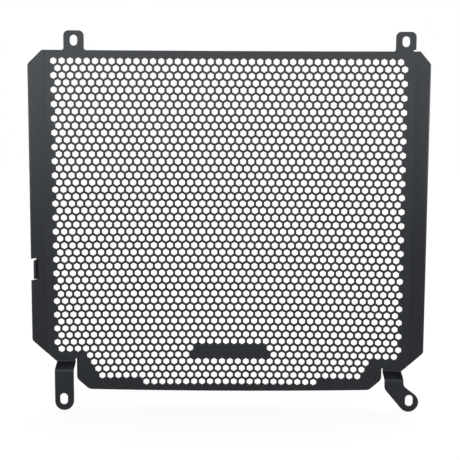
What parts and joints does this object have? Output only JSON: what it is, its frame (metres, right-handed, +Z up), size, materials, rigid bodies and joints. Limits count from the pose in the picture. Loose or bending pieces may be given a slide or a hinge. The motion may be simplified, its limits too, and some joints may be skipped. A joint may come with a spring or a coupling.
{
  "type": "motorcycle radiator guard",
  "caption": "One-piece honeycomb-perforated sheet guard for a motorcycle radiator, bowed, with side flanges, a small side lip and slotted fixing tabs at the corners.",
  "frame": {"origin": "middle of the guard's overall width, depth and height", "axes": "+X to the right across the guard as seen from the radiator, +Z up, -Y towards the radiator; the flanges and lower tabs reach towards -Y"},
  "size_m": [0.3564, 0.0252, 0.3435],
  "materials": {
    "black_powder_coat": "satin black powder coat"
  },
  "bodies": {
    "root": {"radiator_guard": "black_powder_coat"}
  },
  "joints": []
}
